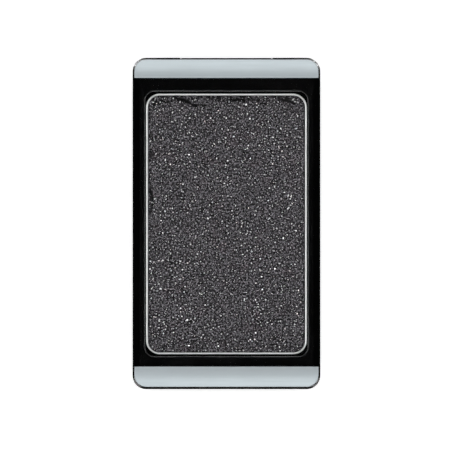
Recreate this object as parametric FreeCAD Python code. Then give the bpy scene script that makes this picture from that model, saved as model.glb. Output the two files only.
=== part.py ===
"""Single-pan eyeshadow palette: a slim black compact with a clear hinged lid.

The palette lies flat. X is its width, Y its length with the hinge at +Y, Z is up.
The origin is the middle of the footprint, on the surface that the palette rests on.
All sizes are in millimetres.

Base side: base_shell, pan_tray, pan_magnet, magnet_tape, underside_label, pan,
powder_cake and the two hinge pins. Lid side: lid_shell with a silver trim plate
and its bonding tape at each end. The lid turns about the hinge pins.
"""

import math
import os

import FreeCAD
import Part

# Driving dimensions
LENGTH = 44.0
WIDTH = 24.9
HEIGHT = 8.0
PARTING_Z = 4.6
CORNER_R = 1.8
WALL = 0.8
FLOOR = 1.0
FIT_GAP = 0.1

# Lid: flat in the middle, rolled down at both ends
LID_TOP = 1.0
ROLL_START = 18.9
ROLL_R = 5.0
LID_EDGE_R = 0.03

# Silver trim plates, let into the lid's ends
TRIM_INSET = 0.22
FRONT_RIM_EXTRA = 0.07
TRIM_GAP = 0.03
TRIM_THICK = 0.3
TRIM_EDGE_R = 0.12
TAPE_THICK = 0.1
TAPE_INSET = 0.5
REAR_TRIM_Y = 19.26
FRONT_TRIM_Y = -18.97

# Hinge
BARREL_R = 1.25
BARREL_GAP = 0.12
HINGE_Y = LENGTH / 2 - BARREL_R
HINGE_Z = PARTING_Z
OPEN_ANGLE = 120.0
STOP_GAP = 0.05
STOP_RUN = 3.5
PIN_R = 0.45
PIN_RUN_GAP = 0.04
PIN_INNER_X = 2.8
PIN_OUTER_X = 12.3
PIN_CHAMFER = 0.1
KNUCKLE_HALF = 6.0
KNUCKLE_GAP = 0.1
EAR_WIDTH = 3.0
WEB_REAR = 0.3
WEB_DEPTH = 1.9
SHELF_RISE = 0.65
NOTCH_HEIGHT = 1.5

# Base
CAVITY_REAR_Y = 18.4
FOOT_R = 0.5
SCOOP_DEPTH = 0.5
SCOOP_HEIGHT = 0.8
SCOOP_R = 20.0
RIB_WIDTH = 0.8
RIB_HALF_LENGTH = 10.0
RIB_YS = (-15.0, -5.0, 5.0, 15.0)

# Tray that frames the pan
TRAY_TOP_Z = 5.4
TRAY_LOW_Z = 1.9
TRAY_CORNER_R = CORNER_R - WALL - FIT_GAP
TRAY_LAP_Y = 19.33
WELL_WIDTH = 21.54
WELL_LENGTH = 35.15
WELL_R = 1.2
WELL_Y = -0.045
WELL_FLOOR_Z = 3.1
WINDOW_EDGE_R = 0.16
POCKET_FRONT_Y = -20.3
POCKET_REAR_Y = -18.5
POCKET_HALF_WIDTH = 10.5

# Front catch
CATCH_Z = 4.95
BEAD_R = 0.2
BEAD_HALF = 4.0
GROOVE_R = 0.28
GROOVE_HALF = 4.3

# Pan and powder
PAN_WIDTH = 21.38
PAN_LENGTH = 34.7
PAN_R = 1.85
PAN_Y = -0.065
PAN_SHEET = 0.25
PAN_TOP_Z = 5.3
PAN_FOOT_R = 0.35
PAN_RIM_R = 0.11
POWDER_GAP = 0.02
POWDER_TOP_Z = 5.05
POWDER_EDGE_R = 0.12

# Magnet under the pan, label under the base
MAGNET_WIDTH = 12.0
MAGNET_LENGTH = 24.0
MAGNET_THICK = 0.6
MAGNET_R = 0.6
LABEL_WIDTH = 18.0
LABEL_LENGTH = 36.0
LABEL_Y = -0.5
LABEL_R = 1.2
LABEL_THICK = 0.12
LABEL_RECESS = 0.2

OVER = 1.0  # how far a cutter runs past the material
TOUCH = 0.01  # nearer than this counts as on the surface


def rounded_prism(width, length, radius, z_low, z_high, centre_y=0.0):
    """Upright prism on a rounded rectangle, centred on X 0 and Y centre_y."""
    arcs = []
    for quarter in range(4):
        turn = math.radians(90 * quarter + 45)
        mid_x = math.copysign(width / 2 - radius, math.cos(turn))
        mid_y = math.copysign(length / 2 - radius, math.sin(turn)) + centre_y

        def on_corner(angle):
            x = mid_x + radius * math.cos(angle)
            y = mid_y + radius * math.sin(angle)
            return FreeCAD.Vector(x, y, z_low)

        eighth = math.pi / 4
        arcs.append([on_corner(turn + step * eighth) for step in (-1, 0, 1)])
    edges = []
    for arc, following in zip(arcs, arcs[1:] + arcs[:1]):
        edges.append(Part.Arc(*arc).toShape())
        edges.append(Part.LineSegment(arc[-1], following[0]).toShape())
    face = Part.Face(Part.Wire(edges))
    return face.extrude(FreeCAD.Vector(0, 0, z_high - z_low))


def block(x_low, x_high, y_low, y_high, z_low, z_high):
    """Box between two corners."""
    corner = FreeCAD.Vector(x_low, y_low, z_low)
    return Part.makeBox(x_high - x_low, y_high - y_low, z_high - z_low, corner)


def bar(radius, x_low, x_high, y, z):
    """Cylinder along X."""
    start = FreeCAD.Vector(x_low, y, z)
    return Part.makeCylinder(radius, x_high - x_low, start, FreeCAD.Vector(1, 0, 0))


def yz_prism(points, x_low, x_high):
    """Polygon in the YZ plane, extruded along X."""
    corners = [FreeCAD.Vector(x_low, y, z) for y, z in points]
    face = Part.Face(Part.makePolygon(corners + corners[:1]))
    return face.extrude(FreeCAD.Vector(x_high - x_low, 0, 0))


def crown(depth):
    """Everything under the lid's outer surface, set in by depth, rolled at both ends."""
    radius = ROLL_R - depth
    low = HEIGHT - ROLL_R
    top = HEIGHT - depth
    x = -WIDTH
    lean = radius * math.sqrt(0.5)

    def at(y, z):
        return FreeCAD.Vector(x, y, z)

    front_arc = Part.Arc(
        at(-ROLL_START - radius, low),
        at(-ROLL_START - lean, low + lean),
        at(-ROLL_START, top),
    )
    rear_arc = Part.Arc(
        at(ROLL_START, top),
        at(ROLL_START + lean, low + lean),
        at(ROLL_START + radius, low),
    )
    flat = Part.LineSegment(at(-ROLL_START, top), at(ROLL_START, top))
    bottom = Part.LineSegment(at(ROLL_START + radius, low), at(-ROLL_START - radius, low))
    wire = Part.Wire([s.toShape() for s in (front_arc, flat, rear_arc, bottom)])
    return Part.Face(wire).extrude(FreeCAD.Vector(2 * WIDTH, 0, 0))


def edges_where(shape, test):
    """Edges whose every vertex and middle point pass the test."""
    found = []
    for edge in shape.Edges:
        middle = edge.valueAt((edge.FirstParameter + edge.LastParameter) / 2)
        spots = [v.Point for v in edge.Vertexes] + [middle]
        if all(test(p) for p in spots):
            found.append(edge)
    return found


def crown_rim(shape):
    """Edges round the outside of the crown's own surface.

    The faint lines where its flat middle meets each roll aren't part of the rim."""

    def on_crown(p):
        beyond = max(abs(p.y) - ROLL_START, 0.0)
        surface = HEIGHT - ROLL_R + math.sqrt(max(ROLL_R**2 - beyond**2, 0.0))
        return abs(p.z - surface) < TOUCH

    def at_roll_start(edge):
        middle = edge.valueAt((edge.FirstParameter + edge.LastParameter) / 2)
        spots = [v.Point for v in edge.Vertexes] + [middle]
        return all(abs(abs(p.y) - ROLL_START) < TOUCH for p in spots)

    return [e for e in edges_where(shape, on_crown) if not at_roll_start(e)]


def footprint(inset, z_low, z_high):
    """The palette's outline in plan, set in all round."""
    return rounded_prism(
        WIDTH - 2 * inset, LENGTH - 2 * inset, CORNER_R - inset, z_low, z_high
    )


def span_prism(half_width, y_low, y_high, radius, z_low, z_high):
    """Rounded prism between two Y values."""
    return rounded_prism(
        2 * half_width, y_high - y_low, radius, z_low, z_high, (y_low + y_high) / 2
    )


def stop_relief(x_low, x_high):
    """Space behind the barrel that the lid's rear wall swings down into.

    Its lower side is the stop face, which the open lid comes to rest on."""
    lean = math.radians(OPEN_ANGLE - 90.0)
    reach = BARREL_R + STOP_GAP
    start = (-reach * math.sin(lean), -reach * math.cos(lean))
    end = (start[0] + STOP_RUN * math.cos(lean), start[1] - STOP_RUN * math.sin(lean))
    corners = [start, end, (end[0], FIT_GAP), (0.0, FIT_GAP), (0.0, 0.0)]
    moved = [(HINGE_Y + y, HINGE_Z + z) for y, z in corners]
    return yz_prism(moved, x_low, x_high)


def base_shell():
    """Outer tray with the hinge knuckle, stop face, nail scoop and ribs.

    The knuckle has a flat shelf behind it, level with the outer wall."""
    shell = footprint(0.0, 0.0, PARTING_Z)
    foot = edges_where(shell, lambda p: p.z < FIT_GAP)
    shell = shell.makeFillet(FOOT_R, foot)
    inner_r = CORNER_R - WALL
    front_y = -LENGTH / 2 + WALL
    half = WIDTH / 2 - WALL
    shell = shell.cut(
        span_prism(half, front_y, CAVITY_REAR_Y, inner_r, FLOOR, PARTING_Z + OVER)
    )
    for y in RIB_YS:
        low = y - RIB_WIDTH / 2
        shell = shell.fuse(
            block(-RIB_HALF_LENGTH, RIB_HALF_LENGTH, low, low + RIB_WIDTH, FLOOR, TRAY_LOW_Z)
        )

    clear_x = KNUCKLE_HALF + KNUCKLE_GAP
    for low, high in ((-WIDTH, -clear_x), (clear_x, WIDTH)):
        shell = shell.cut(bar(BARREL_R + BARREL_GAP, low, high, HINGE_Y, HINGE_Z))
    shell = shell.cut(stop_relief(-WIDTH, WIDTH))
    web = [
        (HINGE_Y - BARREL_R, HINGE_Z),
        (HINGE_Y + WEB_REAR, HINGE_Z),
        (HINGE_Y + WEB_REAR, HINGE_Z - WEB_DEPTH),
        (HINGE_Y - BARREL_R, HINGE_Z - WEB_DEPTH),
    ]
    shell = shell.fuse(yz_prism(web, -KNUCKLE_HALF, KNUCKLE_HALF))
    shell = shell.fuse(bar(BARREL_R, -KNUCKLE_HALF, KNUCKLE_HALF, HINGE_Y, HINGE_Z))
    shelf_z = HINGE_Z + SHELF_RISE
    shell = shell.fuse(
        block(-KNUCKLE_HALF, KNUCKLE_HALF, HINGE_Y, LENGTH / 2, HINGE_Z, shelf_z)
    )
    shell = shell.cut(bar(PIN_R, -KNUCKLE_HALF - OVER, KNUCKLE_HALF + OVER, HINGE_Y, HINGE_Z))

    scoop_y = -LENGTH / 2 + SCOOP_DEPTH - SCOOP_R
    scoop_at = FreeCAD.Vector(0, scoop_y, PARTING_Z - SCOOP_HEIGHT)
    shell = shell.cut(Part.makeCylinder(SCOOP_R, SCOOP_HEIGHT + OVER, scoop_at))
    shell = shell.cut(
        rounded_prism(LABEL_WIDTH, LABEL_LENGTH, LABEL_R, -OVER, LABEL_RECESS, LABEL_Y)
    )
    return shell.removeSplitter()


def pan_tray():
    """Black frame round the pan, with the well that the pan drops into."""
    half = WIDTH / 2 - WALL - FIT_GAP
    front_y = -LENGTH / 2 + WALL + FIT_GAP
    body_rear_y = CAVITY_REAR_Y - FIT_GAP
    tray = span_prism(half, front_y, body_rear_y, TRAY_CORNER_R, TRAY_LOW_Z, TRAY_TOP_Z)
    tray = tray.fuse(
        span_prism(half, front_y, TRAY_LAP_Y, TRAY_CORNER_R, PARTING_Z, TRAY_TOP_Z)
    ).removeSplitter()

    well = rounded_prism(
        WELL_WIDTH, WELL_LENGTH, WELL_R, WELL_FLOOR_Z, TRAY_TOP_Z + OVER, WELL_Y
    )
    tray = tray.cut(well)
    inside_x = WELL_WIDTH / 2 + FIT_GAP
    inside_y = WELL_LENGTH / 2 + FIT_GAP
    window = edges_where(
        tray,
        lambda p: p.z > TRAY_TOP_Z - FIT_GAP / 2
        and abs(p.x) < inside_x
        and abs(p.y - WELL_Y) < inside_y,
    )
    tray = tray.makeFillet(WINDOW_EDGE_R, window)

    pocket = block(
        -POCKET_HALF_WIDTH,
        POCKET_HALF_WIDTH,
        POCKET_FRONT_Y,
        POCKET_REAR_Y,
        TRAY_LOW_Z - OVER,
        PARTING_Z,
    )
    tray = tray.cut(pocket)
    magnet_seat_z = WELL_FLOOR_Z - MAGNET_THICK - TAPE_THICK
    tray = tray.cut(
        rounded_prism(
            MAGNET_WIDTH + 2 * FIT_GAP,
            MAGNET_LENGTH + 2 * FIT_GAP,
            MAGNET_R + FIT_GAP,
            magnet_seat_z,
            WELL_FLOOR_Z + OVER,
            PAN_Y,
        )
    )
    tray = tray.cut(bar(GROOVE_R, -GROOVE_HALF, GROOVE_HALF, front_y, CATCH_Z))
    return tray


def pan():
    """Thin steel pan with a square-cut, eased rim."""
    outer = rounded_prism(PAN_WIDTH, PAN_LENGTH, PAN_R, WELL_FLOOR_Z, PAN_TOP_Z, PAN_Y)
    foot = edges_where(outer, lambda p: p.z < WELL_FLOOR_Z + FIT_GAP)
    outer = outer.makeFillet(PAN_FOOT_R, foot)
    inner = rounded_prism(
        PAN_WIDTH - 2 * PAN_SHEET,
        PAN_LENGTH - 2 * PAN_SHEET,
        PAN_R - PAN_SHEET,
        WELL_FLOOR_Z + PAN_SHEET,
        PAN_TOP_Z + OVER,
        PAN_Y,
    )
    shape = outer.cut(inner)
    rim = edges_where(shape, lambda p: p.z > PAN_TOP_Z - PAN_RIM_R / 2)
    return shape.makeFillet(PAN_RIM_R, rim)


def powder_cake():
    """Pressed powder that fills the pan to just under its rim."""
    inset = 2 * (PAN_SHEET + POWDER_GAP)
    cake = rounded_prism(
        PAN_WIDTH - inset,
        PAN_LENGTH - inset,
        PAN_R - inset / 2,
        WELL_FLOOR_Z + PAN_SHEET,
        POWDER_TOP_Z,
        PAN_Y,
    )
    rim = edges_where(cake, lambda p: p.z > POWDER_TOP_Z - FIT_GAP)
    return cake.makeFillet(POWDER_EDGE_R, rim)


def pan_magnet():
    """Flexible magnet sheet under the pan."""
    return rounded_prism(
        MAGNET_WIDTH,
        MAGNET_LENGTH,
        MAGNET_R,
        WELL_FLOOR_Z - MAGNET_THICK,
        WELL_FLOOR_Z,
        PAN_Y,
    )


def magnet_tape():
    """Double-sided tape that bonds the magnet to the tray."""
    top = WELL_FLOOR_Z - MAGNET_THICK
    return rounded_prism(
        MAGNET_WIDTH, MAGNET_LENGTH, MAGNET_R, top - TAPE_THICK, top, PAN_Y
    )


def underside_label():
    """Blank paper label in its recess under the base."""
    return rounded_prism(
        LABEL_WIDTH - 2 * FIT_GAP,
        LABEL_LENGTH - 2 * FIT_GAP,
        LABEL_R - FIT_GAP,
        LABEL_RECESS - LABEL_THICK,
        LABEL_RECESS,
        LABEL_Y,
    )


def hinge_pin(side):
    """Steel pin, pressed into the base knuckle; the lid's ear turns on it."""
    low = min(side * PIN_INNER_X, side * PIN_OUTER_X)
    pin = bar(PIN_R, low, low + PIN_OUTER_X - PIN_INNER_X, HINGE_Y, HINGE_Z)
    ends = [e for e in pin.Edges if e.Closed]
    return pin.makeChamfer(PIN_CHAMFER, ends)


def lid_hinge_material(side):
    """Ear, rounded foot of the rear wall and rounded end of the side wall, one side."""
    inner_x = KNUCKLE_HALF + 2 * KNUCKLE_GAP
    outer_x = WIDTH / 2
    side_x = outer_x - WALL
    rear_y = LENGTH / 2 - WALL

    def along(x_low, x_high):
        return sorted((side * x_low, side * x_high))

    ear_low, ear_high = along(inner_x, inner_x + EAR_WIDTH)
    ear = block(
        ear_low,
        ear_high,
        HINGE_Y - BARREL_R,
        LENGTH / 2,
        HINGE_Z,
        HEIGHT,
    ).common(crown(LID_TOP / 2))
    ear = ear.fuse(bar(BARREL_R, ear_low, ear_high, HINGE_Y, HINGE_Z))
    foot_low, foot_high = along(inner_x, outer_x)
    foot = bar(BARREL_R, foot_low, foot_high, HINGE_Y, HINGE_Z).common(
        block(foot_low, foot_high, rear_y, LENGTH / 2, 0, HEIGHT)
    )
    end_low, end_high = along(side_x, outer_x)
    end = bar(BARREL_R, end_low, end_high, HINGE_Y, HINGE_Z)
    return ear.fuse([foot, end]).common(footprint(0.0, 0.0, HEIGHT))


def trim_region(rear, inset, gap):
    """Plan area of one end's trim, as a tall prism. The rim is wider at the front."""
    outline = rounded_prism(
        WIDTH - 2 * inset,
        LENGTH - 2 * inset - FRONT_RIM_EXTRA,
        CORNER_R - inset,
        PARTING_Z,
        HEIGHT + OVER,
        FRONT_RIM_EXTRA / 2,
    )
    if rear:
        keep = block(-WIDTH, WIDTH, REAR_TRIM_Y + gap, LENGTH, 0, 2 * HEIGHT)
    else:
        keep = block(-WIDTH, WIDTH, -LENGTH, FRONT_TRIM_Y - gap, 0, 2 * HEIGHT)
    return outline.common(keep)


def lid_shell():
    """Clear lid: shell, hinge ears, catch bead and a shallow seat for each trim plate.

    Its rear wall is cut out round the knuckle, and so is the rim above it."""
    outer = footprint(0.0, PARTING_Z, HEIGHT + OVER).common(crown(0.0))
    outer = outer.makeFillet(LID_EDGE_R, crown_rim(outer))

    inner = footprint(WALL, PARTING_Z - OVER, HEIGHT).common(crown(LID_TOP))
    lid = outer.cut(inner)
    for side in (-1, 1):
        lid = lid.fuse(lid_hinge_material(side))
    notch_half = KNUCKLE_HALF + KNUCKLE_GAP
    lid = lid.cut(
        block(
            -notch_half,
            notch_half,
            HINGE_Y,
            LENGTH,
            PARTING_Z - OVER,
            HINGE_Z + NOTCH_HEIGHT,
        )
    )
    rim_y = LENGTH / 2 - TRIM_INSET
    lid = lid.cut(block(-notch_half, notch_half, rim_y, LENGTH, HINGE_Z, HEIGHT + OVER))
    run_r = PIN_R + PIN_RUN_GAP
    for low, high in ((-WIDTH, -KNUCKLE_HALF), (KNUCKLE_HALF, WIDTH)):
        lid = lid.cut(bar(run_r, low, high, HINGE_Y, HINGE_Z))
    for rear in (True, False):
        seat = trim_region(rear, TRIM_INSET, 0.0).cut(crown(TRIM_THICK + TAPE_THICK))
        lid = lid.cut(seat)
    bead_y = -LENGTH / 2 + WALL
    bead = bar(BEAD_R, -BEAD_HALF, BEAD_HALF, bead_y, CATCH_Z)
    lid = lid.fuse(bead)
    return lid.removeSplitter()


def trim_plate(rear):
    """Formed metal plate that follows the roll of the lid's end."""
    region = trim_region(rear, TRIM_INSET + TRIM_GAP, TRIM_GAP)
    plate = region.common(crown(0.0)).cut(crown(TRIM_THICK))
    return plate.makeFillet(TRIM_EDGE_R, crown_rim(plate))


def trim_tape(rear):
    """Double-sided tape that bonds a trim plate to its seat."""
    region = trim_region(rear, TRIM_INSET + TAPE_INSET, TAPE_INSET)
    return region.common(crown(TRIM_THICK)).cut(crown(TRIM_THICK + TAPE_THICK))


def main():
    pieces = {
        "base_shell": base_shell(),
        "pan_tray": pan_tray(),
        "pan_magnet": pan_magnet(),
        "magnet_tape": magnet_tape(),
        "underside_label": underside_label(),
        "pan": pan(),
        "powder_cake": powder_cake(),
        "hinge_pin_left": hinge_pin(-1),
        "hinge_pin_right": hinge_pin(1),
        "lid_shell": lid_shell(),
        "front_trim_plate": trim_plate(False),
        "rear_trim_plate": trim_plate(True),
        "front_trim_tape": trim_tape(False),
        "rear_trim_tape": trim_tape(True),
    }
    os.makedirs("parts", exist_ok=True)
    for name, shape in pieces.items():
        if not shape.isValid() or not shape.Solids:
            raise ValueError(f"{name} is not a valid solid")
        print(f"{name}: {len(shape.Solids)} solid, {shape.Volume:.1f} mm3")
        shape.exportStep(f"parts/{name}.step")


main()
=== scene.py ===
"""Looks of a single-pan eyeshadow palette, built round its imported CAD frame.

The CAD nodes keep their shapes and get their materials here. The plain powder cake
is replaced by a pressed, grained surface with cracks, and glitter flakes lie in it.
Lengths are in metres; names that end in _MM are millimetres, for the powder's grain.
"""

import math

import bpy
import numpy as np
from mathutils import Matrix, Vector


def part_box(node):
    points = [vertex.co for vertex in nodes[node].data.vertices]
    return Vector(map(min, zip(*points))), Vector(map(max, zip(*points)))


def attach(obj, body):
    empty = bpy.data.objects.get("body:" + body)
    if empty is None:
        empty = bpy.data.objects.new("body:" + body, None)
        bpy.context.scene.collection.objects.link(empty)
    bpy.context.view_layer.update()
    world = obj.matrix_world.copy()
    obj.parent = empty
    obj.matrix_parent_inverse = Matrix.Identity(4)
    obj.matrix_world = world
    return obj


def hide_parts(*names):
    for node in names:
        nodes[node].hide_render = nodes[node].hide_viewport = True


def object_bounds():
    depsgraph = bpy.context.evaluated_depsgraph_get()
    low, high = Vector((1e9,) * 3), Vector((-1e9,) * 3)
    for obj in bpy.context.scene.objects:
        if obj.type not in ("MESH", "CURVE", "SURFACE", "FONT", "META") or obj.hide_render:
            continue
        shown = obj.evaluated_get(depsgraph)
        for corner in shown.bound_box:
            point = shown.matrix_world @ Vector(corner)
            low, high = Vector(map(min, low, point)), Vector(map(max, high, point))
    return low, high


MM = 0.001

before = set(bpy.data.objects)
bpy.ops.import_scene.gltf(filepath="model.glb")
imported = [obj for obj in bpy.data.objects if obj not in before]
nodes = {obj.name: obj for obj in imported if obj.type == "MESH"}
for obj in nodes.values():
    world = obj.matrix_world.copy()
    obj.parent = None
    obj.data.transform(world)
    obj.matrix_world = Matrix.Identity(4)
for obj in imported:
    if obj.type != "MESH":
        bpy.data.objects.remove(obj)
cad_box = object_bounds()


# ---------------------------------------------------------------- node trees


def node(tree, kind, inputs=None, **properties):
    """A new node; an input takes a value, or is joined to another node's socket."""
    made = tree.nodes.new(kind)
    for name, value in properties.items():
        setattr(made, name, value)
    for name, value in (inputs or {}).items():
        if isinstance(value, bpy.types.NodeSocket):
            tree.links.new(value, made.inputs[name])
        else:
            made.inputs[name].default_value = value
    return made


def empty_material(name):
    material = bpy.data.materials.new(name)
    material.use_nodes = True
    material.node_tree.nodes.clear()
    return material, material.node_tree


def place_mm(tree, stretch=(1.0, 1.0, 1.0)):
    """The surface point in millimetres, stretched along each axis."""
    point = node(tree, "ShaderNodeTexCoord").outputs["Object"]
    factors = [s / MM for s in stretch]
    scaled = node(tree, "ShaderNodeVectorMath", {0: point, 1: factors}, operation="MULTIPLY")
    return scaled.outputs["Vector"]


def noise(tree, point, scale, detail=2.0, roughness=0.5):
    """Noise value at a point, with scale in features per millimetre."""
    inputs = {"Vector": point, "Scale": scale, "Detail": detail, "Roughness": roughness}
    return node(tree, "ShaderNodeTexNoise", inputs).outputs["Fac"]


def remap(tree, value, low, high, start=0.0, end=1.0):
    """Value moved from the range start to end into the range low to high, and held there."""
    inputs = {"Value": value, "From Min": start, "From Max": end, "To Min": low, "To Max": high}
    return node(tree, "ShaderNodeMapRange", inputs).outputs["Result"]


def blend_colours(tree, factor, first, second, mode="MIX"):
    mix = node(tree, "ShaderNodeMix", data_type="RGBA", blend_type=mode)
    for socket, value in ((mix.inputs[0], factor), (mix.inputs[6], first), (mix.inputs[7], second)):
        if isinstance(value, bpy.types.NodeSocket):
            tree.links.new(value, socket)
        else:
            socket.default_value = value
    return mix.outputs[2]


def fill_ramp(ramp, stops, tint=(1.0, 1.0, 1.0)):
    """Gives a colour ramp its stops, as pairs of position and brightness."""
    elements = ramp.color_ramp.elements
    while len(elements) < len(stops):
        elements.new(0.5)
    for element, (position, level) in zip(elements, stops):
        element.position = position
        element.color = (*[level * part for part in tint], 1.0)


def bump(tree, height, depth):
    inputs = {"Height": height, "Distance": depth, "Strength": 1.0}
    return node(tree, "ShaderNodeBump", inputs).outputs["Normal"]


def finish_material(tree, shader):
    node(tree, "ShaderNodeOutputMaterial", {"Surface": shader})


# ----------------------------------------------------------------- materials


WINDOW_EASE_MM = 0.16  # radius of the eased edge round the tray's window

# Brightness of the powder's grains, by the value of their noise
GRAIN_TONES = [(0.335, 0.005), (0.43, 0.019), (0.5, 0.0435), (0.57, 0.092), (0.66, 0.185)]


def black_plastic(name, colour, rough_low, rough_high):
    """Glossy moulded plastic: faint sink ripples, and smudges that dull the gloss."""
    material, tree = empty_material(name)
    point = place_mm(tree)
    smudge = noise(tree, point, 0.35, detail=4.0)
    ripple = noise(tree, point, 0.9, detail=1.0)
    tone = remap(tree, noise(tree, point, 1.7), 0.0, 1.0, 0.3, 0.7)
    inputs = {
        "Base Color": blend_colours(tree, tone, (*colour, 1.0), (*[c * 1.5 for c in colour], 1.0)),
        "Roughness": remap(tree, smudge, rough_low, rough_high, 0.35, 0.65),
        "IOR": 1.5,
        "Normal": bump(tree, ripple, 0.0015 * MM),
    }
    finish_material(tree, node(tree, "ShaderNodeBsdfPrincipled", inputs).outputs["BSDF"])
    return material


def tray_plastic():
    """Black tray with a painted highlight: pale colour in patches on the eased edge of its window."""
    material = black_plastic("tray_black", (0.0007, 0.0007, 0.0008), 0.12, 0.18)
    tree = material.node_tree
    shader = next(n for n in tree.nodes if n.type == "BSDF_PRINCIPLED")
    black = shader.inputs["Base Color"].links[0].from_socket
    point = place_mm(tree)
    height = node(tree, "ShaderNodeSeparateXYZ", {"Vector": point}).outputs["Z"]
    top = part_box("pan_tray")[1].z / MM
    above = remap(tree, height, 0.0, 1.0, top - WINDOW_EASE_MM, top - 0.6 * WINDOW_EASE_MM)
    below = remap(tree, height, 1.0, 0.0, top - 0.2 * WINDOW_EASE_MM, top)
    edge = node(tree, "ShaderNodeMath", {0: above, 1: below}, operation="MULTIPLY").outputs["Value"]
    highlight_patches = remap(tree, noise(tree, point, 1.5, detail=3.0), 0.6, 1.0, 0.3, 0.7)
    wear_and_painted_light = node(tree, "ShaderNodeMath", {0: edge, 1: highlight_patches}, operation="MULTIPLY").outputs["Value"]
    # Painted highlight: the eased edge of the window is coloured pale, in patches.
    colour = blend_colours(tree, wear_and_painted_light, black, (0.05, 0.05, 0.05, 1.0))
    tree.links.new(colour, shader.inputs["Base Color"])
    return material


def clear_plastic():
    """Clear moulded lid. Light goes through it to the powder without a caustic."""
    material, tree = empty_material("clear_plastic")
    point = place_mm(tree)
    smudge = noise(tree, point, 0.5, detail=5.0, roughness=0.6)
    inputs = {
        "Base Color": (0.985, 0.99, 0.99, 1.0),
        "Roughness": remap(tree, smudge, 0.0, 0.035, 0.45, 0.75),
        "IOR": 1.5,
        "Transmission Weight": 1.0,
        "Normal": bump(tree, noise(tree, point, 0.25, detail=1.0), 0.001 * MM),
    }
    body = node(tree, "ShaderNodeBsdfPrincipled", inputs).outputs["BSDF"]
    shadow = node(tree, "ShaderNodeBsdfTransparent", {"Color": (0.95, 0.96, 0.96, 1.0)})
    is_shadow = node(tree, "ShaderNodeLightPath").outputs["Is Shadow Ray"]
    mix = node(tree, "ShaderNodeMixShader", {0: is_shadow, 1: body, 2: shadow.outputs["BSDF"]})
    finish_material(tree, mix.outputs["Shader"])
    return material


def satin_metal(name, colour, rough_low, rough_high, stretch, grain_depth):
    """Metal with a fine grain drawn out along one axis."""
    material, tree = empty_material(name)
    streaks = noise(tree, place_mm(tree, stretch), 1.0, detail=3.0, roughness=0.7)
    patches = noise(tree, place_mm(tree), 0.3)
    darker = [c * 0.93 for c in colour]
    inputs = {
        "Base Color": blend_colours(tree, patches, (*darker, 1.0), (*colour, 1.0)),
        "Metallic": 1.0,
        "Roughness": remap(tree, streaks, rough_low, rough_high, 0.3, 0.7),
        "Normal": bump(tree, streaks, grain_depth),
    }
    finish_material(tree, node(tree, "ShaderNodeBsdfPrincipled", inputs).outputs["BSDF"])
    return material


def powder_material():
    """Charcoal powder: fine dark and pale grains, with painted shade in its pits and cracks."""
    material, tree = empty_material("pressed_powder")
    point = place_mm(tree)
    grains = noise(tree, point, 4.2, detail=0.7, roughness=0.6)
    tone = node(tree, "ShaderNodeValToRGB", {"Fac": grains})
    fill_ramp(tone, GRAIN_TONES, (1.04, 0.97, 1.07))
    warm = remap(tree, noise(tree, point, 0.4, detail=1.0), 0.0, 0.6, 0.5, 0.7)
    base = blend_colours(tree, warm, tone.outputs["Color"], (1.0, 0.88, 0.9, 1.0), "MULTIPLY")
    # Painted shade from the mesh attribute: the colour goes nearly black in pits, cracks, low grains and
    # round large flakes.
    painted_shade = node(tree, "ShaderNodeAttribute", attribute_name="painted_shade").outputs["Fac"]
    base = blend_colours(tree, painted_shade, base, (0.003, 0.0028, 0.0032, 1.0))
    fine = noise(tree, point, 9.0, detail=2.0)
    inputs = {
        "Base Color": base,
        "Roughness": 0.8,
        "Specular IOR Level": 0.15,
        "Normal": bump(tree, fine, 0.02 * MM),
    }
    finish_material(tree, node(tree, "ShaderNodeBsdfPrincipled", inputs).outputs["BSDF"])
    return material


def glitter_material():
    """Bright metallised flakes, each with a slight tint of its own."""
    material, tree = empty_material("glitter")
    tint = node(tree, "ShaderNodeAttribute", attribute_name="tint").outputs["Color"]
    specks = noise(tree, place_mm(tree), 12.0)
    shine = blend_colours(tree, specks, (0.8, 0.8, 0.8, 1.0), (1.0, 1.0, 1.0, 1.0))
    inputs = {
        "Base Color": blend_colours(tree, 1.0, tint, shine, "MULTIPLY"),
        "Metallic": 1.0,
        "Roughness": 0.3,
    }
    finish_material(tree, node(tree, "ShaderNodeBsdfPrincipled", inputs).outputs["BSDF"])
    return material


def plain_material(name, first, second, scale, roughness, depth):
    """Dull material whose tone varies with noise, such as paper, tape or magnet sheet."""
    material, tree = empty_material(name)
    grain = noise(tree, place_mm(tree), scale, detail=4.0, roughness=0.6)
    inputs = {
        "Base Color": blend_colours(tree, grain, (*first, 1.0), (*second, 1.0)),
        "Roughness": roughness,
        "Normal": bump(tree, grain, depth),
    }
    finish_material(tree, node(tree, "ShaderNodeBsdfPrincipled", inputs).outputs["BSDF"])
    return material


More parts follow.
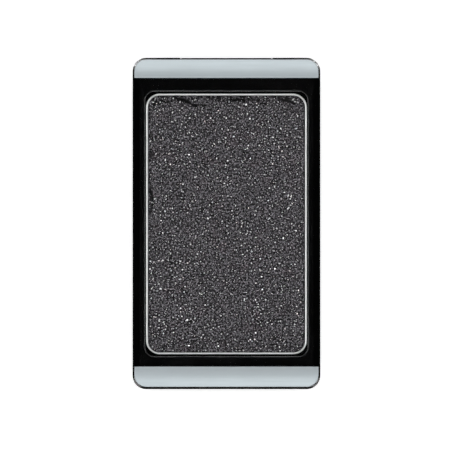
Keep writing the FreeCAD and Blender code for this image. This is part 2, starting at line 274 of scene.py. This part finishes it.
def dress_cad_nodes():
    """A material for every CAD node that stays visible."""
    base = black_plastic("base_black", (0.0008, 0.0008, 0.0009), 0.07, 0.16)
    tray = tray_plastic()
    silver = satin_metal("silver_trim", (0.53, 0.585, 0.61), 0.48, 0.6, (0.15, 14.0, 14.0), 0.0015 * MM)
    steel = satin_metal("pan_steel", (0.93, 0.93, 0.92), 0.32, 0.48, (4.0, 4.0, 0.6), 0.002 * MM)
    pin = satin_metal("pin_steel", (0.55, 0.55, 0.56), 0.2, 0.32, (0.4, 9.0, 9.0), 0.001 * MM)
    tape = plain_material("tape", (0.03, 0.03, 0.032), (0.05, 0.05, 0.052), 5.0, 0.75, 0.002 * MM)
    magnet = plain_material("magnet", (0.05, 0.045, 0.04), (0.09, 0.08, 0.07), 6.0, 0.8, 0.005 * MM)
    paper = plain_material("label_paper", (0.8, 0.8, 0.79), (0.9, 0.9, 0.89), 7.0, 0.6, 0.004 * MM)
    chosen = {
        "base_shell": base,
        "pan_tray": tray,
        "lid_shell": clear_plastic(),
        "front_trim_plate": silver,
        "rear_trim_plate": silver,
        "pan": steel,
        "hinge_pin_left": pin,
        "hinge_pin_right": pin,
        "magnet_tape": tape,
        "front_trim_tape": tape,
        "rear_trim_tape": tape,
        "pan_magnet": magnet,
        "underside_label": paper,
    }
    for name, material in chosen.items():
        nodes[name].material_slots[0].material = material


# -------------------------------------------------------------------- powder

POWDER_SPACING_MM = 0.11
POWDER_CORNER_MM = 1.55

# Layers of noise, each with its size and height in mm and its seed
GRAIN_LAYERS = [(0.34, 0.026, 11), (0.23, 0.022, 12)]
SWELL_LAYER = (4.5, 0.02, 14)
RAGGED_LAYERS = [(1.1, 0.16, 15), (0.4, 0.12, 16)]

# Wear along the edge, in mm: how far in it reaches and how much powder it takes
RAGGED_MM = 0.18
REAR_WEAR_MM = 2.6
LEFT_WEAR_MM = 1.6
LEDGE_MM = 0.06
EDGE_LOSS_MM = 0.03
WORN_LOSS_MM = 0.1

WANDER_MM = 0.1
PIT_MM = 0.33
PIT_DEPTH_MM = 0.12


def lattice_noise(x, y, size, seed):
    """Smooth random value, about -1 to 1, at points in mm, with features of a given size."""
    rng = np.random.default_rng(seed)
    cells = 256
    table = rng.uniform(-1.0, 1.0, (cells, cells))
    u = x / size + cells / 2
    v = y / size + cells / 2
    i = np.floor(u).astype(int)
    j = np.floor(v).astype(int)
    s = u - i
    t = v - j
    s = s * s * (3 - 2 * s)
    t = t * t * (3 - 2 * t)

    def at(di, dj):
        return table[(i + di) % cells, (j + dj) % cells]

    near = at(0, 0) * (1 - s) + at(1, 0) * s
    far = at(0, 1) * (1 - s) + at(1, 1) * s
    return near * (1 - t) + far * t


def squeeze_corners(x, y, half_x, half_y, radius):
    """Moves a rectangle's points so that its corners become arcs of that radius."""
    px = np.clip((np.abs(x) - (half_x - radius)) / radius, 0, 1)
    py = np.clip((np.abs(y) - (half_y - radius)) / radius, 0, 1)
    qx = px * np.sqrt(1 - py**2 / 2)
    qy = py * np.sqrt(1 - px**2 / 2)
    new_x = x + np.sign(x) * (qx - px) * radius
    new_y = y + np.sign(y) * (qy - py) * radius
    return new_x, new_y


def edge_distance(x, y, half_x, half_y, radius):
    """Distance in from the edge of a rounded rectangle."""
    qx = np.abs(x) - (half_x - radius)
    qy = np.abs(y) - (half_y - radius)
    outside = np.hypot(np.maximum(qx, 0), np.maximum(qy, 0))
    inside = np.minimum(np.maximum(qx, qy), 0)
    return radius - outside - inside


def segment_distance(x, y, start, end):
    """Distance from points to a straight segment."""
    ax, ay = start
    dx, dy = end[0] - ax, end[1] - ay
    along = np.clip(((x - ax) * dx + (y - ay) * dy) / (dx * dx + dy * dy), 0, 1)
    return np.hypot(x - ax - along * dx, y - ay - along * dy)


# Cracks and chips in the cake, as points in mm from its middle, with width and depth
CRACKS = [
    ([(-6.9, 16.95), (-6.3, 16.6), (-5.7, 16.45), (-5.1, 16.15), (-4.6, 15.9), (-4.0, 15.85)], 0.16, 0.32),
    ([(-8.7, 16.35), (-8.1, 16.25), (-7.6, 16.3)], 0.15, 0.26),
    ([(-9.7, 15.9), (-9.3, 16.2), (-8.9, 15.95)], 0.15, 0.2),
    ([(-4.0, 15.85), (-3.3, 15.7), (-2.6, 15.9)], 0.1, 0.2),
    ([(0.7, 16.45), (1.6, 16.5), (2.4, 16.4)], 0.13, 0.24),
    ([(4.4, 16.0), (4.9, 16.1), (5.3, 15.95)], 0.11, 0.2),
    ([(7.0, 16.65), (7.8, 16.45), (8.4, 16.3), (9.0, 16.1)], 0.13, 0.22),
    ([(-10.2, 4.6), (-9.9, 3.8), (-9.8, 2.6), (-10.1, 1.6)], 0.13, 0.22),
    ([(-10.2, 9.9), (-9.9, 9.4), (-10.0, 8.7)], 0.12, 0.18),
]


def layered_noise(x, y, layers):
    """Sum of several layers of noise."""
    return sum(height * lattice_noise(x, y, size, seed) for size, height, seed in layers)


def edge_loss(x, y, half_x, half_y, radius):
    """Powder lost along the edge, in mm: a ragged line all round, with more wear at rear and left."""
    inset = edge_distance(x, y, half_x, half_y, radius)
    ragged = RAGGED_MM + layered_noise(x, y, RAGGED_LAYERS)
    near_rear = np.clip((y - half_y + REAR_WEAR_MM) / REAR_WEAR_MM, 0, 1)
    near_left = np.clip((-x - half_x + LEFT_WEAR_MM) / LEFT_WEAR_MM, 0, 1)
    patchy = 0.5 + 0.5 * lattice_noise(x, y, 3.2, 21)
    wear_and_painted_light = patchy * (0.75 * near_rear + 0.5 * near_left)
    ledge = 1 / (1 + np.exp((inset - ragged - wear_and_painted_light) / LEDGE_MM))
    return (EDGE_LOSS_MM + WORN_LOSS_MM * np.clip(wear_and_painted_light * 1.6, 0, 1)) * ledge


def crack_depth(x, y):
    """Depth of the cracks, in mm, along lines that wander a little."""
    wander_x = x + WANDER_MM * lattice_noise(x, y, 0.5, 17)
    wander_y = y + WANDER_MM * lattice_noise(x, y, 0.5, 18)
    cut = np.zeros_like(x)
    for points, width, deep in CRACKS:
        for start, end in zip(points, points[1:]):
            away = segment_distance(wander_x, wander_y, start, end)
            cut = np.maximum(cut, deep * np.exp(-((away / width) ** 2)))
    return cut


def powder_height(x, y, half_x, half_y, radius):
    """Height of the cake's surface over its flat level, in mm, and its painted shade, 0 to 1."""
    grain = layered_noise(x, y, GRAIN_LAYERS)
    swell = layered_noise(x, y, [SWELL_LAYER])
    loss = edge_loss(x, y, half_x, half_y, radius)
    cut = crack_depth(x, y)
    pits = np.clip(lattice_noise(x, y, PIT_MM, 19) - 0.45, 0, 1) * PIT_DEPTH_MM
    height = grain + swell - loss - cut - pits
    # Painted shade: darker along the edge's ledge, in the cracks and pits, and in the low grains.
    shade = loss * 3.2 + cut * 5.0 + pits * 9.0
    painted_shade = np.clip(shade + np.clip(-grain * 9, 0.0, 0.35), 0, 1)
    return height, painted_shade


# Flakes: most are small, and a few are several times larger
FLAKE_SPACING_MM = 0.33
FLAKE_SIDES = 5
FLAKE_TILT_DEG = 22
SMALL_FLAKE_MM = 0.028
FLAKE_VARIES_MM = 0.02
FLAKE_GROWS_MM = 0.11
FLAKE_RARITY = 5.5
TOO_DARK = 0.6  # no flake lies where the painted shade is darker than this

# Tints of the flakes, each with its share of them
FLAKE_TINTS = [
    ((0.93, 0.92, 0.94), 0.64),
    ((0.88, 0.9, 0.95), 0.13),
    ((0.96, 0.89, 0.9), 0.15),
    ((0.9, 0.93, 0.9), 0.08),
]

# Painted shade in the crevices round the large flakes
LARGE_FLAKE_MM = 0.06
HOLLOW_MM = 0.15
HOLLOW_REACH = 4  # in grid steps
HOLLOW_SHADE = 0.65


def scatter_flakes(half_x, half_y):
    """Middles and radii of the flakes, one to each cell of a jittered grid."""
    rng = np.random.default_rng(56)
    grid_x, grid_y = np.meshgrid(
        np.arange(-half_x, half_x, FLAKE_SPACING_MM), np.arange(-half_y, half_y, FLAKE_SPACING_MM)
    )
    x = grid_x.ravel() + rng.uniform(0, FLAKE_SPACING_MM, grid_x.size)
    y = grid_y.ravel() + rng.uniform(0, FLAKE_SPACING_MM, grid_x.size)
    size = SMALL_FLAKE_MM + FLAKE_VARIES_MM * rng.random(x.size)
    size += FLAKE_GROWS_MM * rng.random(x.size) ** FLAKE_RARITY
    _, painted_shade = powder_height(x, y, half_x, half_y, POWDER_CORNER_MM)
    inset = edge_distance(x, y, half_x, half_y, POWDER_CORNER_MM)
    keep = (inset > 0.1 + size) & (painted_shade < TOO_DARK)
    return x[keep], y[keep], size[keep]


def painted_hollow_shade(grid_x, grid_y, x, y, size):
    """Painted shade at each grid point, for the crevices round the large flakes."""
    large = size > LARGE_FLAKE_MM
    x, y, size = x[large], y[large], size[large]
    rows, columns = grid_x.shape
    step_x = grid_x[0, 1] - grid_x[0, 0]
    step_y = grid_y[1, 0] - grid_y[0, 0]
    column = np.rint((x - grid_x[0, 0]) / step_x).astype(int)
    row = np.rint((y - grid_y[0, 0]) / step_y).astype(int)
    dark = np.zeros_like(grid_x)
    for down in range(-HOLLOW_REACH, HOLLOW_REACH + 1):
        for right in range(-HOLLOW_REACH, HOLLOW_REACH + 1):
            i = np.clip(row + down, 0, rows - 1)
            j = np.clip(column + right, 0, columns - 1)
            away = np.hypot(grid_x[i, j] - x, grid_y[i, j] - y) - size
            np.maximum.at(dark, (i, j), np.exp(-((away / HOLLOW_MM) ** 2)))
    return dark


def powder_cake():
    """The pressed cake: a grained top on a plain skirt, closed underneath."""
    low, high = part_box("powder_cake")
    middle = (low + high) / 2
    half_x = (high.x - low.x) / 2 / MM
    half_y = (high.y - low.y) / 2 / MM
    across = round(2 * half_x / POWDER_SPACING_MM)
    along = round(2 * half_y / POWDER_SPACING_MM)
    grid_x, grid_y = np.meshgrid(
        np.linspace(-half_x, half_x, across + 1), np.linspace(-half_y, half_y, along + 1)
    )
    x, y = squeeze_corners(grid_x, grid_y, half_x, half_y, POWDER_CORNER_MM)
    height, painted_shade = powder_height(x, y, half_x, half_y, POWDER_CORNER_MM)
    flakes = scatter_flakes(half_x, half_y)
    # Painted shade round the large flakes is added to the cake's own painted shade.
    painted_shade = np.clip(painted_shade + HOLLOW_SHADE * painted_hollow_shade(grid_x, grid_y, *flakes), 0, 1)
    peak = height.max()
    top = high.z / MM + height - peak
    points = np.stack([x.ravel(), y.ravel(), top.ravel()], 1)

    index = np.arange(x.size).reshape(x.shape)
    quads = np.stack([index[:-1, :-1], index[:-1, 1:], index[1:, 1:], index[1:, :-1]], -1)
    faces = quads.reshape(-1, 4).tolist()
    border = np.concatenate([index[0, :-1], index[:-1, -1], index[-1, :0:-1], index[:0:-1, 0]])
    skirt = points[border].copy()
    skirt[:, 2] = low.z / MM
    first = len(points)
    points = np.concatenate([points, skirt])
    count = len(border)
    for i in range(count):
        following = (i + 1) % count
        faces.append([int(border[i]), first + i, first + following, int(border[following])])
    faces.append([first + i for i in reversed(range(count))])

    points[:, 0] += middle.x / MM
    points[:, 1] += middle.y / MM
    mesh = bpy.data.meshes.new("pressed_powder")
    mesh.from_pydata((points * MM).tolist(), [], faces)
    attribute = mesh.attributes.new("painted_shade", "FLOAT", "POINT")
    # The skirt's points get a middling painted shade.
    attribute.data.foreach_set("value", np.concatenate([painted_shade.ravel(), np.full(count, 0.5)]))
    mesh.polygons.foreach_set("use_smooth", [True] * len(mesh.polygons))
    mesh.materials.append(powder_material())
    cake = bpy.data.objects.new("pressed_powder", mesh)
    bpy.context.scene.collection.objects.link(cake)
    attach(cake, "base")
    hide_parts("powder_cake")
    glitter(flakes, middle, half_x, half_y, high.z / MM - peak)


def glitter(flakes, middle, half_x, half_y, level):
    """Thin five-sided flakes lying in the powder at random tilts."""
    x, y, size = flakes
    count = len(x)
    rng = np.random.default_rng(57)
    height, _ = powder_height(x, y, half_x, half_y, POWDER_CORNER_MM)
    tilt = np.radians(np.abs(rng.normal(0, FLAKE_TILT_DEG, count)))
    lean = rng.uniform(0, 2 * math.pi, count)
    spin = rng.uniform(0, 2 * math.pi, count)
    oblong = rng.uniform(0.45, 1.0, count)
    tints, shares = zip(*FLAKE_TINTS)
    tint_index = rng.choice(len(tints), count, p=shares)
    points = []
    faces = []
    colours = []
    for i in range(count):
        turn = Matrix.Rotation(lean[i], 3, "Z") @ Matrix.Rotation(tilt[i], 3, "X")
        rise = 0.4 * size[i] * math.sin(tilt[i]) + 0.006
        place = Vector((x[i], y[i], level + height[i] + rise))
        start = len(points)
        ring = []
        for k in range(FLAKE_SIDES):
            angle = spin[i] + 2 * math.pi * k / FLAKE_SIDES
            ring.append(Vector((size[i] * math.cos(angle), size[i] * oblong[i] * math.sin(angle), 0)))
        ring.append(Vector((0, 0, 0.05 * size[i])))
        ring.append(Vector((0, 0, -0.05 * size[i])))
        points += [(place + turn @ p) for p in ring]
        for k in range(FLAKE_SIDES):
            following = (k + 1) % FLAKE_SIDES
            faces.append((start + k, start + following, start + FLAKE_SIDES))
            faces.append((start + following, start + k, start + FLAKE_SIDES + 1))
        colours += [(*tints[tint_index[i]], 1.0)] * (FLAKE_SIDES + 2)
    mesh = bpy.data.meshes.new("glitter_flakes")
    shift = Vector((middle.x, middle.y, 0))
    mesh.from_pydata([tuple(p * MM + shift) for p in points], [], faces)
    attribute = mesh.attributes.new("tint", "FLOAT_COLOR", "POINT")
    attribute.data.foreach_set("color", np.array(colours).ravel())
    mesh.materials.append(glitter_material())
    piece = bpy.data.objects.new("glitter_flakes", mesh)
    bpy.context.scene.collection.objects.link(piece)
    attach(piece, "base")


# -------------------------------------------------------------------- studio

CAMERA_DISTANCE = 1.2
CAMERA_TILT = math.radians(0.5)
CAMERA_AIM = (-0.00019, -0.000223)  # from the palette's middle
VIEW_WIDTH = 0.05967


def make_camera():
    """Straight above the palette, a hair towards its front."""
    low, high = cad_box
    middle = (low + high) / 2
    camera_data = bpy.data.cameras.new("camera")
    camera_data.lens = camera_data.sensor_width * CAMERA_DISTANCE / VIEW_WIDTH
    camera_data.clip_start = 0.01
    camera = bpy.data.objects.new("camera", camera_data)
    target = Vector((*CAMERA_AIM, high.z))
    back = Vector((0.0, -math.sin(CAMERA_TILT), math.cos(CAMERA_TILT)))
    camera.location = Vector((middle.x, middle.y, 0)) + target + back * CAMERA_DISTANCE
    camera.rotation_euler = (CAMERA_TILT, 0.0, 0.0)
    bpy.context.scene.collection.objects.link(camera)
    bpy.context.scene.camera = camera


# Brightness of the surroundings, by height over the floor as a sine
WORLD_LEVELS = [(0.0, 0.5), (0.15, 0.42), (0.5, 0.4), (0.8, 0.4), (0.91, 0.035), (0.965, 0.004)]


def make_world():
    """Soft light all round, dark straight overhead so that black plastic stays black."""
    world = bpy.data.worlds.new("studio")
    world.use_nodes = True
    tree = world.node_tree
    tree.nodes.clear()
    direction = node(tree, "ShaderNodeTexCoord").outputs["Generated"]
    up = node(tree, "ShaderNodeSeparateXYZ", {"Vector": direction}).outputs["Z"]
    ramp = node(tree, "ShaderNodeValToRGB", {"Fac": up})
    fill_ramp(ramp, WORLD_LEVELS)
    light = node(tree, "ShaderNodeBackground", {"Color": ramp.outputs["Color"], "Strength": 1.0})
    node(tree, "ShaderNodeOutputWorld", {"Surface": light.outputs["Background"]})
    bpy.context.scene.world = world


# Softboxes: name, compass turn from +X and height over the floor in degrees, watts
SOFTBOXES = [
    ("right_softbox", 0.0, 54.0, 4.8),
    ("rear_softbox", 90.0, 38.0, 4.6),
    ("left_softbox", 180.0, 54.0, 4.8),
    ("front_softbox", 270.0, 38.0, 4.6),
]
SOFTBOX_DISTANCE = 1.4
SOFTBOX_SIZE = 0.72

FLOOR_HALF = 3.0
FLOOR_DROP = 0.00002  # keeps the floor clear of the base's own underside


def softbox(name, turn, height, power):
    """Square area light that faces the palette."""
    light = bpy.data.lights.new(name, "AREA")
    light.shape = "SQUARE"
    light.size = SOFTBOX_SIZE
    light.energy = power
    lamp = bpy.data.objects.new(name, light)
    turn, height = math.radians(turn), math.radians(height)
    level = math.cos(height)
    toward = Vector((level * math.cos(turn), level * math.sin(turn), math.sin(height)))
    lamp.location = toward * SOFTBOX_DISTANCE
    lamp.rotation_euler = toward.to_track_quat("Z", "Y").to_euler()
    bpy.context.scene.collection.objects.link(lamp)


def floor_material():
    """White paper that glows a little, so that it stays white right up to the palette."""
    material, tree = empty_material("floor_paper")
    grain = noise(tree, place_mm(tree), 0.05)
    inputs = {
        "Base Color": blend_colours(tree, grain, (0.9, 0.9, 0.9, 1.0), (0.93, 0.93, 0.93, 1.0)),
        "Roughness": 0.9,
        "Emission Color": (1.0, 1.0, 1.0, 1.0),
        "Emission Strength": 0.5,
    }
    finish_material(tree, node(tree, "ShaderNodeBsdfPrincipled", inputs).outputs["BSDF"])
    return material


def make_studio():
    """Floor, surroundings and softboxes."""
    mesh = bpy.data.meshes.new("studio_floor")
    corners = [(-1, -1), (1, -1), (1, 1), (-1, 1)]
    points = [(x * FLOOR_HALF, y * FLOOR_HALF, -FLOOR_DROP) for x, y in corners]
    mesh.from_pydata(points, [], [(0, 1, 2, 3)])
    mesh.materials.append(floor_material())
    floor = bpy.data.objects.new("studio_floor", mesh)
    bpy.context.scene.collection.objects.link(floor)
    make_world()
    for name, turn, height, power in SOFTBOXES:
        softbox(name, turn, height, power)
    bpy.context.scene.view_settings.view_transform = "Standard"


dress_cad_nodes()
powder_cake()
make_camera()
make_studio()
